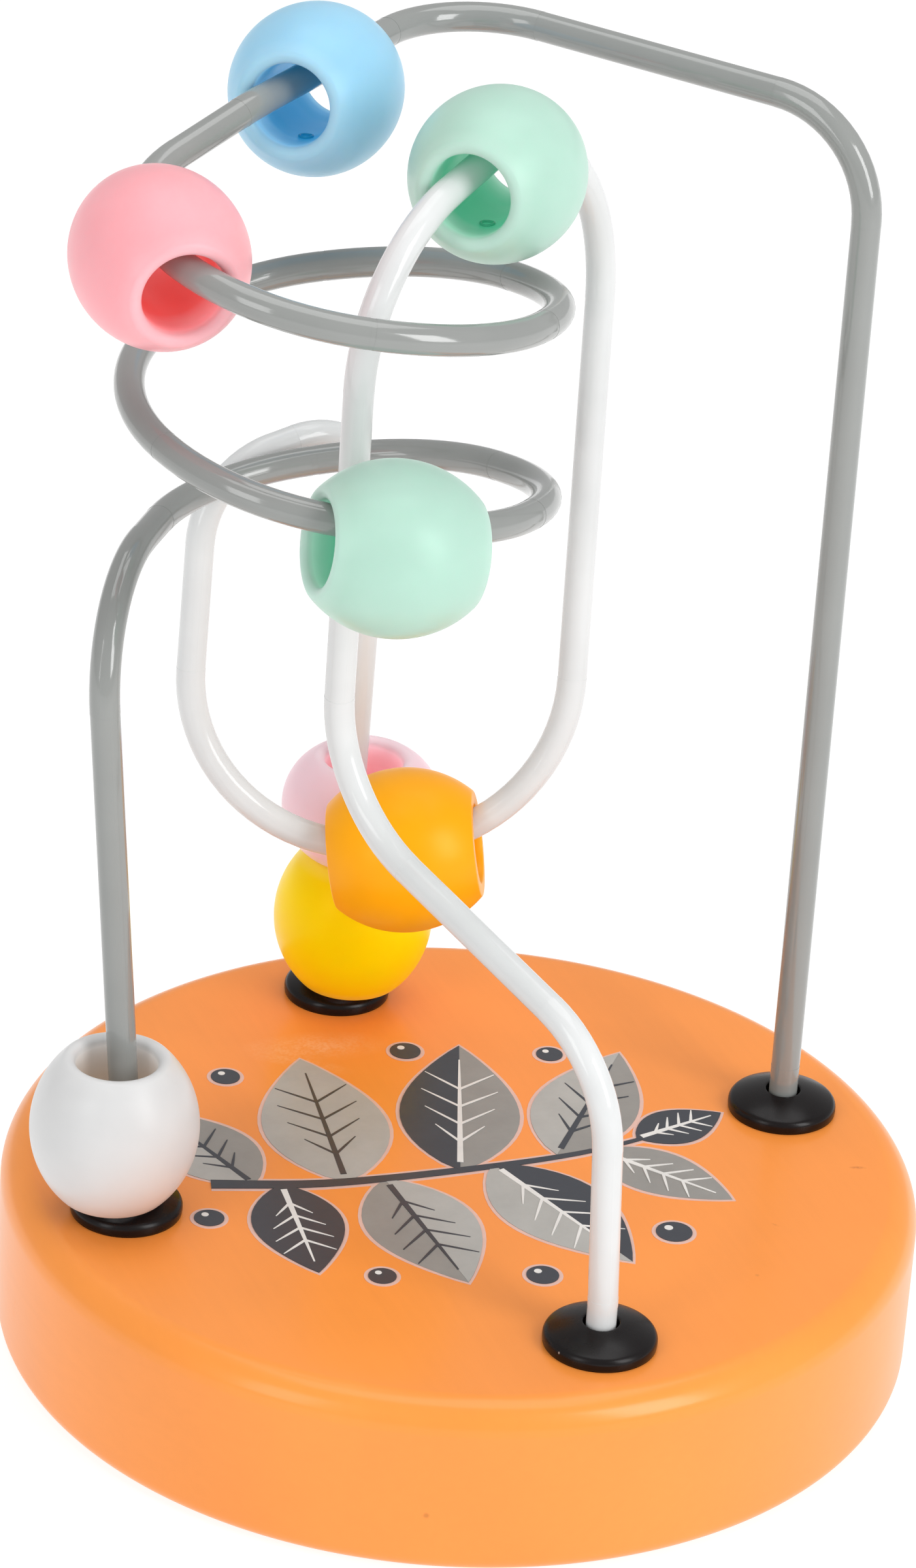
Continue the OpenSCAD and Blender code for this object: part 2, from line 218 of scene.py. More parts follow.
SETTINGS = {
    "maze_base": BaseSettings,
    "maze_print": PrintSettings,
    "maze_caps": CapSettings,
    "maze_wires": WireSettings,
    "maze_beads": BeadSettings,
    "maze_stage": StageSettings,
}


# Node helpers

COLOUR = "NodeSocketColor"
NUMBER = "NodeSocketFloat"
VECTOR = "NodeSocketVector"
SKIN_OUTPUTS = {"Colour": COLOUR, "Roughness": NUMBER, "Height": NUMBER}
# Range that most values of a noise lie in
NOISE_LOW, NOISE_HIGH = 0.3, 0.7


def add_node(tree, kind, **values):
    """A new shader node whose attributes and input values are set by name."""
    node = tree.nodes.new("ShaderNode" + kind)
    for name, value in values.items():
        if hasattr(node, name):
            setattr(node, name, value)
        else:
            node.inputs[name.replace("_", " ").title()].default_value = value
    return node


def feed(tree, socket, value):
    """Links a socket to another one, or sets it to a number or a triple."""
    if isinstance(value, bpy.types.NodeSocket):
        tree.links.new(value, socket)
    else:
        socket.default_value = (*value, 1) if socket.type == "RGBA" else value


def maths(tree, operation, first, second):
    """A Math node; each side is a socket or a number."""
    node = add_node(tree, "Math", operation=operation)
    feed(tree, node.inputs[0], first)
    feed(tree, node.inputs[1], second)
    return node.outputs[0]


def remap(tree, value, low, high, to_low, to_high):
    """Maps a value from one range to another, held at both ends."""
    node = add_node(tree, "MapRange", from_min=low, from_max=high, to_min=to_low, to_max=to_high)
    tree.links.new(value, node.inputs["Value"])
    return node.outputs[0]


def drift(tree, value, to_low, to_high):
    """Spreads the values of a noise over another range."""
    return remap(tree, value, NOISE_LOW, NOISE_HIGH, to_low, to_high)


def blend_colours(tree, factor, first, second, kind="MIX"):
    """Mixes two colours; each is a socket or a triple."""
    node = add_node(tree, "Mix", data_type="RGBA", blend_type=kind)
    # Sockets 0, 6 and 7 are the factor and the two colours
    for i, value in ((0, factor), (6, first), (7, second)):
        feed(tree, node.inputs[i], value)
    return node.outputs[2]


def shade_colour(tree, tone, shade):
    """Multiplies a colour, a socket or a triple, by a number from a socket."""
    grey = add_node(tree, "CombineColor")
    for socket in grey.inputs:
        tree.links.new(shade, socket)
    return blend_colours(tree, 1.0, tone, grey.outputs[0], "MULTIPLY")


def noise(tree, place, scale, detail=3.0, rough=0.5):
    """Noise of a given scale, in cycles per metre."""
    node = add_node(tree, "TexNoise", scale=scale, detail=detail, roughness=rough)
    tree.links.new(place, node.inputs["Vector"])
    return node.outputs[0]


def object_place(tree):
    """Coordinates in the part's own frame."""
    return tree.nodes.new("ShaderNodeTexCoord").outputs["Object"]


def mesh_mask(tree, name):
    """A mask that the mesh carries."""
    return add_node(tree, "Attribute", attribute_name=name).outputs["Fac"]


def new_group(name, inputs, outputs):
    """An empty shader node group with named sockets."""
    group = bpy.data.node_groups.new(name, "ShaderNodeTree")
    for label, kind in inputs.items():
        group.interface.new_socket(label, in_out="INPUT", socket_type=kind)
    for label, kind in outputs.items():
        group.interface.new_socket(label, in_out="OUTPUT", socket_type=kind)
    given = group.nodes.new("NodeGroupInput").outputs
    put = group.nodes.new("NodeGroupOutput").inputs
    return group, given, put


# Node groups that the finishes share

def paint_film_group():
    """Satin paint over wood: cloudy colour, faint grain, soft scuffs and orange peel."""
    group, given, put = new_group(
        "Paint film", {"Paint": COLOUR, "Edge paint": COLOUR, "Grain": NUMBER, "Satin": NUMBER},
        SKIN_OUTPUTS
    )
    place = object_place(group)
    stretch = add_node(group, "Mapping", scale=(1, 0.07, 1))
    group.links.new(place, stretch.inputs["Vector"])
    clouds = noise(group, place, scale=45, detail=4)
    grain = noise(group, stretch.outputs[0], scale=900, detail=4, rough=0.6)
    peel = noise(group, place, scale=1400, detail=2)
    blotches = noise(group, place, scale=160, detail=6, rough=0.7)
    # On the base the edge paint is a painted highlight along the top rounding; on the turned bead
    # it is the paint at its ends
    base = blend_colours(group, mesh_mask(group, "edge"), given["Paint"], given["Edge paint"])
    streak = drift(group, grain, 0.985, 1.01)
    shade = maths(group, "MULTIPLY", drift(group, clouds, 0.955, 1.03), streak)
    group.links.new(shade_colour(group, base, shade), put["Colour"])
    satin = maths(group, "ADD", given["Satin"], drift(group, clouds, -0.03, 0.04))
    scuffs = remap(group, blotches, 0.64, 0.8, 0, 0.14)
    group.links.new(maths(group, "ADD", satin, scuffs), put["Roughness"])
    lines = maths(group, "MULTIPLY", grain, given["Grain"])
    pits = maths(group, "MULTIPLY", peel, 0.3)
    group.links.new(maths(group, "ADD", lines, pits), put["Height"])
    return group


def satin_moulding_group():
    """Moulded plastic: slightly cloudy colour, a paler lip as painted highlight, painted shade
    deeper in the bore and on the mould mark, a painted glow and a fine skin.
    """
    group, given, put = new_group(
        "Satin moulding",
        {"Plastic": COLOUR, "Bore": COLOUR, "Lip": COLOUR, "Gloss": NUMBER, "Clear": NUMBER},
        {**SKIN_OUTPUTS, "Inside": NUMBER}
    )
    place = object_place(group)
    clouds = noise(group, place, scale=130)
    skin = noise(group, place, scale=5200, detail=2)
    flow = noise(group, place, scale=420)
    # Painted shade: the bore mask deepens the colour into the bore
    bore = mesh_mask(group, "bore")
    # Painted highlight: the lip is paler than the plastic
    outside = blend_colours(group, mesh_mask(group, "lip"), given["Plastic"], given["Lip"])
    whole = blend_colours(group, bore, outside, given["Bore"])
    # Painted shade: the mould mark's ring is darker and glows less
    mark_shade = remap(group, mesh_mask(group, "mark"), 0, 1, 1, 0.62)
    shade = maths(group, "MULTIPLY", drift(group, clouds, 0.965, 1.02), mark_shade)
    group.links.new(shade_colour(group, whole, shade), put["Colour"])
    uneven = drift(group, flow, -0.04, 0.05)
    group.links.new(maths(group, "ADD", uneven, given["Gloss"]), put["Roughness"])
    pits = maths(group, "MULTIPLY", skin, 0.5)
    group.links.new(maths(group, "ADD", pits, flow), put["Height"])
    # Painted glow: the bore gives off light, as if lit through the walls, and so does a clear
    # plastic's whole body
    inside = remap(group, bore, 0.05, 0.2, 0, 1)
    painted_glow_share = maths(group, "MAXIMUM", maths(group, "MULTIPLY", inside, mark_shade), given["Clear"])
    group.links.new(painted_glow_share, put["Inside"])
    return group


def coated_wire_group():
    """Dipped coating: a small drift of colour and orange peel."""
    group, given, put = new_group("Coated wire", {"Coating": COLOUR}, SKIN_OUTPUTS)
    place = object_place(group)
    shade = drift(group, noise(group, place, scale=90), 0.95, 1.04)
    peel = noise(group, place, scale=700)
    group.links.new(shade_colour(group, given["Coating"], shade), put["Colour"])
    group.links.new(drift(group, peel, 0.1, 0.16), put["Roughness"])
    group.links.new(peel, put["Height"])
    return group


def specks_group():
    """Sparse round specks of dust."""
    group, given, put = new_group("Specks", {"Scale": NUMBER, "Amount": NUMBER}, {"Mask": NUMBER})
    cells = add_node(group, "TexVoronoi")
    group.links.new(object_place(group), cells.inputs["Vector"])
    group.links.new(given["Scale"], cells.inputs["Scale"])
    dot = remap(group, cells.outputs["Distance"], 0.06, 0.14, 1, 0)
    pick = add_node(group, "SeparateColor")
    group.links.new(cells.outputs["Color"], pick.inputs[0])
    chosen = maths(group, "LESS_THAN", pick.outputs[0], given["Amount"])
    group.links.new(maths(group, "MULTIPLY", dot, chosen), put["Mask"])
    return group


def rubbed_patch_group():
    """A soft, gritty oval where the surface is rubbed."""
    group, given, put = new_group(
        "Rubbed patch", {"Middle": VECTOR, "Turn": VECTOR, "Size": VECTOR, "Share": NUMBER},
        {"Mask": NUMBER}
    )
    place = object_place(group)
    oval = add_node(group, "Mapping", vector_type="TEXTURE")
    for label, socket in (("Location", "Middle"), ("Rotation", "Turn"), ("Scale", "Size")):
        group.links.new(given[socket], oval.inputs[label])
    group.links.new(place, oval.inputs["Vector"])
    reach = add_node(group, "VectorMath", operation="LENGTH")
    group.links.new(oval.outputs[0], reach.inputs[0])
    soft = remap(group, reach.outputs["Value"], 0.15, 1, 1, 0)
    ragged = remap(group, noise(group, place, scale=350, detail=4, rough=0.7), 0.3, 0.6, 0.1, 1)
    grit = remap(group, noise(group, place, scale=2600, detail=2), 0.35, 0.62, 0.35, 1)
    mask = maths(group, "MULTIPLY", maths(group, "MULTIPLY", soft, ragged), grit)
    group.links.new(maths(group, "MULTIPLY", mask, given["Share"]), put["Mask"])
    return group


GROUP_MAKERS = {
    "Paint film": paint_film_group,
    "Satin moulding": satin_moulding_group,
    "Coated wire": coated_wire_group,
    "Specks": specks_group,
    "Rubbed patch": rubbed_patch_group,
}


def place_group(tree, name, **values):
    """A shared group, made the first time it is asked for, placed with its inputs set."""
    group = bpy.data.node_groups.get(name) or GROUP_MAKERS[name]()
    node = add_node(tree, "Group", node_tree=group)
    for label, value in values.items():
        feed(tree, node.inputs[label.replace("_", " ").capitalize()], value)
    return node


# Finishes

# Rubbed patches on the base, in millimetres and degrees:
# middle, turn, half length, half width and strength
# The dull patches also hold a painted reflection of the yellow bead
HAZE_AND_REFLECTION = [(-7, 27, -8, 9, 3.6, 0.75), (-10, 24.5, -38, 7, 1.6, 0.6)]
SCRATCHES = [(41.2, -14.2, -20, 1.1, 0.35, 0.8), (27.4, -22.6, -60, 0.6, 0.2, 0.9)]
# Half height of a rubbed patch, and the share of the lacquer that is left where it is dull
RUB_DEPTH, RUBBED_COAT = 2 * MM, 0.2
# Share of white in a plastic's lip, a painted highlight, and in its reflections
PALE = 0.1


def new_material(name, **values):
    """A material with a Principled shader whose own sockets hold the constant values."""
    material = bpy.data.materials.new(name)
    material.use_nodes = True
    tree = material.node_tree
    shader = tree.nodes["Principled BSDF"]
    for label, value in values.items():
        socket = label.replace("_", " ").title().replace("Ior", "IOR")
        shader.inputs[socket].default_value = value
    return material, tree, shader


def wear_skin(tree, shader, name, depth, **values):
    """Places a skin group and feeds it into the shader, its height as a bump of a given depth."""
    skin = place_group(tree, name, **values)
    tree.links.new(skin.outputs["Colour"], shader.inputs["Base Color"])
    tree.links.new(skin.outputs["Roughness"], shader.inputs["Roughness"])
    bump = add_node(tree, "Bump", strength=1, distance=depth)
    tree.links.new(skin.outputs["Height"], bump.inputs["Height"])
    tree.links.new(bump.outputs[0], shader.inputs["Normal"])
    return skin


def lay_over(tree, shader, mask, tone):
    """Lays a tone over the shader's present colour by a mask."""
    socket = shader.inputs["Base Color"]
    tree.links.new(blend_colours(tree, mask, socket.links[0].from_socket, tone), socket)


def dust_over(tree, shader, scale, share, tone):
    """Lays specks of a tone over the shader's present colour."""
    specks = place_group(tree, "Specks", scale=scale, amount=share)
    lay_over(tree, shader, specks.outputs["Mask"], tone)


def rub_over(tree, shader, patches, tone):
    """Lays rubbed patches of a tone over the shader's present colour and gives their mask."""
    whole = 0
    for x, y, turn, long, wide, share in patches:
        patch = place_group(
            tree, "Rubbed patch", middle=(x * MM, y * MM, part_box("base")[1].z),
            turn=(0, 0, math.radians(turn)), size=(long * MM, wide * MM, RUB_DEPTH), share=share
        )
        whole = maths(tree, "MAXIMUM", patch.outputs["Mask"], whole)
    lay_over(tree, shader, whole, tone)
    return whole


def base_paint(settings):
    """Lacquered satin paint with a few specks, dull places that hold a painted reflection of the
    yellow bead, and scratches.
    """
    material, tree, shader = new_material(
        "Base paint", specular_ior_level=0.25, specular_tint=(*settings.sheen, 1),
        coat_tint=(*settings.sheen, 1), coat_roughness=0.19
    )
    wear_skin(
        tree, shader, "Paint film", depth=0.008 * MM, paint=settings.paint,
        edge_paint=settings.edge_paint, grain=0.5, satin=0.36
    )
    darker = tuple(0.72 * part for part in settings.paint)
    dust_over(tree, shader, scale=330, share=0.012, tone=darker)
    # Painted reflection: the dull patches near the yellow bead take a lighter, yellower tone
    dull = rub_over(tree, shader, HAZE_AND_REFLECTION, settings.painted_reflection)
    rub_over(tree, shader, SCRATCHES, settings.scratch)
    coat = remap(tree, dull, 0, 1, settings.lacquer, RUBBED_COAT * settings.lacquer)
    tree.links.new(coat, shader.inputs["Coat Weight"])
    return material


def bead_paint(settings):
    """Vivid satin paint on turned wood, with a painted glow of its own."""
    material, tree, shader = new_material(
        "Orange paint", specular_ior_level=0.5, specular_tint=(*settings.sheen, 1),
        emission_strength=settings.orange_glow
    )
    skin = wear_skin(
        tree, shader, "Paint film", depth=0.012 * MM, paint=settings.orange,
        edge_paint=settings.orange_end, grain=0.35, satin=0.38
    )
    # Painted glow: the paint gives off light in its own colour
    tree.links.new(skin.outputs["Colour"], shader.inputs["Emission Color"])
    return material


def moulded_plastic(name, plastic, bore, clear, settings):
    """Satin plastic that lets some light through, with a painted glow in its bore."""
    # The paler tone serves as the lip's painted highlight and as the tint of the reflections
    pale = tuple(PALE + (1 - PALE) * part for part in plastic)
    material, tree, shader = new_material(
        name, specular_ior_level=0.45, specular_tint=(*pale, 1), subsurface_weight=0.5,
        subsurface_scale=settings.seep,
        subsurface_radius=tuple(max(0.1, part) for part in plastic),
        emission_strength=settings.glow
    )
    skin = wear_skin(
        tree, shader, "Satin moulding", depth=0.006 * MM, plastic=plastic, bore=bore, lip=pale,
        gloss=0.34, clear=clear
    )
    # Painted glow: the bore, and a clear plastic's whole body, give off light in the plastic's
    # colour
    painted_glow_colour = blend_colours(tree, skin.outputs["Inside"], (0, 0, 0), skin.outputs["Colour"])
    tree.links.new(painted_glow_colour, shader.inputs["Emission Color"])
    return material


def cap_plastic(settings):
    """Black plastic with specks of dust."""
    material, tree, shader = new_material("Cap plastic", specular_ior_level=0.23)
    black = settings.plastic
    wear_skin(
        tree, shader, "Satin moulding", depth=0.006 * MM, plastic=black, bore=black, lip=black,
        gloss=0.26
    )
    dust_over(tree, shader, scale=900, share=0.02, tone=settings.dust)
    return material


def wire_coating(name, coating, speck, gloss):
    """A wire's coating, dull or glossy."""
    material, tree, shader = new_material(
        name, specular_ior_level=0.35 + 0.25 * gloss, coat_weight=0.4 * gloss, coat_roughness=0.06
    )
    wear_skin(tree, shader, "Coated wire", depth=0.003 * MM, coating=coating)
    dust_over(tree, shader, scale=160, share=0.012, tone=speck)
    return material


def printed_ink(name, ink):
    """Ink with a slightly patchy tone."""
    material, tree, shader = new_material(name)
    place = object_place(tree)
    patches = drift(tree, noise(tree, place, scale=260, detail=5, rough=0.65), 0.93, 1.05)
    tree.links.new(shade_colour(tree, ink, patches), shader.inputs["Base Color"])
    rough = drift(tree, noise(tree, place, scale=500), 0.3, 0.42)
    tree.links.new(rough, shader.inputs["Roughness"])
    return material


def floor_surface(settings):
    """A pale floor with some light of its own."""
    material, tree, shader = new_material(
        "Floor", specular_ior_level=0.2, base_color=(*settings.floor, 1),
        emission_color=(1, 1, 1, 1), emission_strength=settings.floor_glow
    )
    worn = drift(tree, noise(tree, object_place(tree), scale=8, detail=4), 0.62, 0.74)
    tree.links.new(worn, shader.inputs["Roughness"])
    return material


# Meshes

def arc(middle, radius, start, end, steps):
    """Points of a circular arc from one angle to another, in degrees."""
    turns = [math.radians(start + (end - start) * i / steps) for i in range(steps + 1)]
    return [(middle[0] + radius * math.cos(t), middle[1] + radius * math.sin(t)) for t in turns]


def new_piece(name, mesh, material, smooth=True):
    """An object in the scene with one material and smooth or flat faces."""
    mesh.polygons.foreach_set("use_smooth", [smooth] * len(mesh.polygons))
    mesh.materials.append(material)
    piece = bpy.data.objects.new(name, mesh)
    bpy.context.scene.collection.objects.link(piece)
    return piece


def lathe(name, outline, segments, place, closed, masks=None):
    """A mesh turned from an outline of (radius, height) points.

    A closed outline makes a ring. An open one starts and ends on the axis.
    masks maps an attribute's name to one value per point of the outline.
    """
    rings, vertices, faces, owners = [], [], [], []
    for index, (radius, height) in enumerate(outline):
        start = len(vertices)
        count = 1 if radius < TINY else segments
        for step in range(count):
            turn = 2 * math.pi * step / segments
            corner = Vector((radius * math.cos(turn), radius * math.sin(turn), height))
            vertices.append(place @ corner)
        owners += [index] * count
        rings.append([start + step % count for step in range(segments)])
    pairs = list(zip(rings, rings[1:]))
    if closed:
        pairs.append((rings[-1], rings[0]))
    for low, high in pairs:
        for step in range(segments):
            after = (step + 1) % segments
            corners = [low[step], low[after], high[after], high[step]]
            faces.append(list(dict.fromkeys(corners)))
    mesh = bpy.data.meshes.new(name)
    mesh.from_pydata(vertices, [], faces)
    for label, values in (masks or {}).items():
        layer = mesh.attributes.new(label, "FLOAT", "POINT")
        layer.data.foreach_set("value", [values[index] for index in owners])
    turned = bmesh.new()
    turned.from_mesh(mesh)
    bmesh.ops.recalc_face_normals(turned, faces=turned.faces)
    turned.to_mesh(mesh)
    turned.free()
    return mesh


# The base

def base_outline(radius, height, settings):
    """Outline of the base from the middle of its underside to the middle of its top, with masks."""
    low, top = settings.bottom_round, settings.top_round
    rings, flat_rings = 10, 24
    underside = [(radius * i / rings, 0) for i in range(rings)]
    underside = [(r, z) for r, z in underside if r < radius - low]
    foot = arc((radius - low, low), low, -90, 0, steps=10)
    side = [(radius, low + (height - top - low) * i / rings) for i in range(1, rings)]
    brow = arc((radius - top, height - top), top, 0, 90, steps=18)
    flat = [((radius - top) * (1 - i / flat_rings), height) for i in range(1, flat_rings + 1)]
    points = underside + foot + side + brow + flat
    # The edge mask carries the painted highlight of the top rounding
    edge = [float(r > radius - top and z > height - top) for r, z in points]
    return points, {"edge": edge}


# The printed sprig

# Inks from the lowest layer to the highest
INKS = ("rim", "mid_grey", "light_grey", "slate", "off_white")
# The sprig as shares of its reach. The stem's bends:
STEM_SHARES = [(-0.46, -0.16), (-0.25, -0.13), (0.0, -0.05), (0.22, 0.04), (0.37, 0.13)]
# Each leaf's root, lean in degrees, length, width, and inks of the leaf, one half and the veins:
LEAF_SHARES = [
    (-0.38, -0.15, 130, 0.32, 0.18, "mid_grey", "light_grey", "slate"),
    (-0.21, -0.12, 104, 0.46, 0.24, "light_grey", "", "slate"),
    (0.0, -0.05, 92, 0.47, 0.23, "mid_grey", "slate", "off_white"),
    (0.18, 0.03, 74, 0.42, 0.2, "mid_grey", "light_grey", "slate"),
    (0.33, 0.11, 36, 0.2, 0.12, "slate", "", "off_white"),
    (-0.33, -0.145, -74, 0.31, 0.17, "slate", "", "off_white"),
    (-0.14, -0.1, -64, 0.38, 0.21, "mid_grey", "light_grey", "slate"),
    (0.06, -0.02, -50, 0.41, 0.21, "light_grey", "slate", "off_white"),
    (0.25, 0.06, -30, 0.3, 0.15, "mid_grey", "", "off_white"),
]
# Each berry's middle and radius:
BERRY_SHARES = [
    (-0.455, -0.28, 0.028), (-0.12, 0.385, 0.03), (-0.46, 0.24, 0.028), (0.16, 0.41, 0.026),
    (0.4, -0.22, 0.034), (-0.13, -0.44, 0.026), (0.16, -0.4, 0.03),
]
# Width of the stem, and the share of it that is lost towards the tip
STEM_WIDTH, STEM_TAPER = 0.03, 0.7
# Widths of a leaf's spine and side veins, and their places as shares of the leaf's length
SPINE_WIDTHS, SPINE_PLACES = (0.012, 0.01, 0.007, 0.003), (0.06, 0.3, 0.6, 0.88)
VEIN_WIDTHS, VEIN_PLACES = (0.006, 0.005, 0.002), (0.22, 0.36, 0.5, 0.64)
# Reach of a side vein as shares of the leaf's length and width
VEIN_RUN, VEIN_SPREAD = 0.13, 0.32
# Powers that set a leaf's widest place and its fullness
LEAF_BELLY, LEAF_FULLNESS = 0.85, 0.9


def leaf_outline(root, lean, long, wide, grow=0, sides=(1, -1), steps=18):
    """Outline of a pointed leaf, or of one side of it, grown outwards by an amount."""
    points = []
    for side in sides:
        shares = [i / steps for i in range(steps + 1)]
        for share in shares if side == 1 else reversed(shares[1:-1]):
            half = wide / 2 * math.sin(math.pi * share ** LEAF_BELLY) ** LEAF_FULLNESS
            x = -grow + (long + 2 * grow) * share
            points.append((x, side * (half + grow * math.sin(math.pi * share))))
    turn = Matrix.Rotation(lean, 2)
    return [root + turn @ Vector(point) for point in points]


def disc_outline(middle, radius, steps=32):
    """Outline of a round dot."""
    turns = [2 * math.pi * i / steps for i in range(steps)]
    return [middle + radius * Vector((math.cos(t), math.sin(t))) for t in turns]


def ribbon_outline(points, widths):
    """Outline of a line of changing width through points."""
    left, right = [], []
    for i, point in enumerate(points):
        ahead = points[min(i + 1, len(points) - 1)] - points[max(i - 1, 0)]
        side = Vector((-ahead.y, ahead.x)).normalized() * widths[i] / 2
        left.append(point + side)
        right.append(point - side)
    return left + right[::-1]


def smooth_path(points, steps):
    """A smooth line through points."""
    path = []
    for i in range(len(points) - 1):
        before, start = points[max(i - 1, 0)], points[i]
        end, after = points[i + 1], points[min(i + 2, len(points) - 1)]
        for k in range(steps):
            t = k / steps
            path.append(0.5 * (2 * start + (end - before) * t
                               + (2 * before - 5 * start + 4 * end - after) * t * t
                               + (3 * start - before - 3 * end + after) * t ** 3))
    return path + [points[-1]]


def sprig_shapes(settings):
    """Outlines of each ink, from the lowest layer to the highest."""
    shapes = {ink: [] for ink in INKS}
    turn = Matrix.Rotation(settings.turn, 2)
    reach = settings.reach

    def at(x, y):
        return turn @ Vector((x * reach, y * reach))

    def vein_line(ink, points, widths):
        shapes[ink].append(ribbon_outline(points, [width * reach for width in widths]))

    def leaf(x, y, lean, long, wide, ink, second, vein):
        root = at(x, y)
        lean = settings.turn + math.radians(lean)
        long, wide = long * reach, wide * reach
        shapes["rim"].append(leaf_outline(root, lean, long, wide, settings.outline))
        shapes[ink].append(leaf_outline(root, lean, long, wide))
        if second:
            shapes[second].append(leaf_outline(root, lean, long, wide, sides=(1,)))
        way = Vector((math.cos(lean), math.sin(lean)))
        side = Vector((-way.y, way.x))
        vein_line(vein, [root + way * long * share for share in SPINE_PLACES], SPINE_WIDTHS)
        for share in VEIN_PLACES:
            start = root + way * long * share
            spread = wide * VEIN_SPREAD * math.sin(math.pi * share)
            for hand in (1, -1):
                tip = start + way * VEIN_RUN * long + side * hand * spread
                vein_line(vein, [start, (start + tip) / 2, tip], VEIN_WIDTHS)

    def berry(x, y, size):
        middle, radius = at(x, y), size * reach
        shapes["rim"].append(disc_outline(middle, radius + settings.outline))
        shapes["slate"].append(disc_outline(middle, radius))
        glint = middle + turn @ (radius * Vector((-0.3, 0.35)))
        shapes["off_white"].append(disc_outline(glint, 0.24 * radius))

    stem = smooth_path([at(x, y) for x, y in STEM_SHARES], steps=6)
    last = len(stem) - 1
    widths = [STEM_WIDTH * reach * (1 - STEM_TAPER * i / last) for i in range(len(stem))]
    shapes["rim"].append(ribbon_outline(stem, [w + 2 * settings.outline for w in widths]))
    shapes["slate"].append(ribbon_outline(stem, widths))
    for row in LEAF_SHARES:
        leaf(*row)
    for row in BERRY_SHARES:
        berry(*row)
    return shapes


def ink_plate(name, outlines, low, high, ink, stagger=0.3):
    """Thin closed plates of one ink, each a touch higher than the last so that none coincide."""
    plates = bmesh.new()
    lift = stagger * (high - low) / len(outlines)
    for index, outline in enumerate(outlines):
        floor = [plates.verts.new((p.x, p.y, low)) for p in outline]
        roof = [plates.verts.new((p.x, p.y, high + lift * index)) for p in outline]
        plates.faces.new(roof)
        plates.faces.new(floor[::-1])
        for i in range(len(outline)):
            j = (i + 1) % len(outline)
            plates.faces.new((floor[i], floor[j], roof[j], roof[i]))
    bmesh.ops.recalc_face_normals(plates, faces=plates.faces)
    bmesh.ops.triangulate(plates, faces=[f for f in plates.faces if len(f.verts) > 4])
    mesh = bpy.data.meshes.new(name)
    plates.to_mesh(mesh)
    plates.free()
    return new_piece(name, mesh, ink, smooth=False)


# The caps

# Depth and wall of the sleeve below a cap's hole
SLEEVE_DEPTH, SLEEVE_WALL = 2 * MM, 1.2 * MM
# How far a cap sinks into the paint, and how far its edge draws in above and below it
CAP_SINK, DRAW_ABOVE, DRAW_BELOW = 0.02 * MM, 0.05 * MM, 0.2 * MM


def cap_hole(node, middle):
    """Radius of a cap's hole for the wire, measured on the solid."""
    return min((v.co - middle).xy.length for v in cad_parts[node].data.vertices)


def cap_outline(radius, hole, settings):
    """Outline of a cap: hole, dome, shoulder and rim, down to a flat underside and a sleeve."""
    shoulder, rim, soft = settings.shoulder, settings.rim_h, settings.hole_edge
    corner = radius - shoulder
    rise = settings.height - rim
    dome = (corner * corner + rise * rise - shoulder * shoulder) / (2 * (rise - shoulder))
    swing = 90 - math.degrees(math.asin(corner / (dome - shoulder)))
    reach = 90 - math.degrees(math.asin((hole + soft) / dome))
    brow = arc((0, settings.height - dome), dome, reach, swing, steps=16)
    mouth = arc((hole + soft, brow[0][1] - soft), soft, 180, 100, steps=5)
    points = [(hole, -SLEEVE_DEPTH)] + mouth + brow
    points += arc((corner, rim), shoulder, swing, 0, steps=10)[1:]
    points += [(radius, rim / 2), (radius - DRAW_ABOVE, CAP_SINK)]
    points += [(radius - DRAW_BELOW, -CAP_SINK), (hole + SLEEVE_WALL, -CAP_SINK)]
    return points + [(hole + SLEEVE_WALL, -SLEEVE_DEPTH)]


# The beads

# Bore masks, which paint shade into a moulded bead's bore, where the bore starts, where the lip
# starts and on a turned bead's bevel
MOUTH_MASK, LIP_MASK, BEVEL_MASK = 0.2, 0.15, 0.4
# Steps over which a full bore mask would fade on the lip, and a full lip mask on the barrel
BORE_FADE, LIP_FADE = 40, 6


def bead_axis(node, middle):
    """Direction of a bead's bore: the odd one out of the three main axes of its solid."""
    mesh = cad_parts[node].data
    mesh.calc_loop_triangles()
    points = numpy.array([vertex.co - middle for vertex in mesh.vertices])
    corners = points[numpy.array([triangle.vertices for triangle in mesh.loop_triangles])]
    volumes = numpy.linalg.det(corners)
    sums = corners.sum(axis=1)
    spread = numpy.einsum("n,ni,nj->ij", volumes, sums, sums)
    spread += numpy.einsum("n,nki,nkj->ij", volumes, corners, corners)
    amounts, axes = numpy.linalg.eigh(spread)
    lone = 0 if amounts[1] - amounts[0] > amounts[2] - amounts[1] else 2
    axis = Vector(axes[:, lone])
    return axis if axis.z > 0 else -axis


def measure_bead(node, low, high):
    """Placement, bore radius, outer radius and half length of a bead, measured on its solid."""
    middle = (low + high) / 2
    axis = bead_axis(node, middle)
    radii, reaches = [], []
    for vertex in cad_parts[node].data.vertices:
        arm = vertex.co - middle
        reach = arm.dot(axis)
        reaches.append(abs(reach))
        radii.append((arm - reach * axis).length)
    place = Matrix.Translation(middle) @ axis.to_track_quat("Z", "Y").to_matrix().to_4x4()
    return place, min(radii), max(radii), max(reaches)


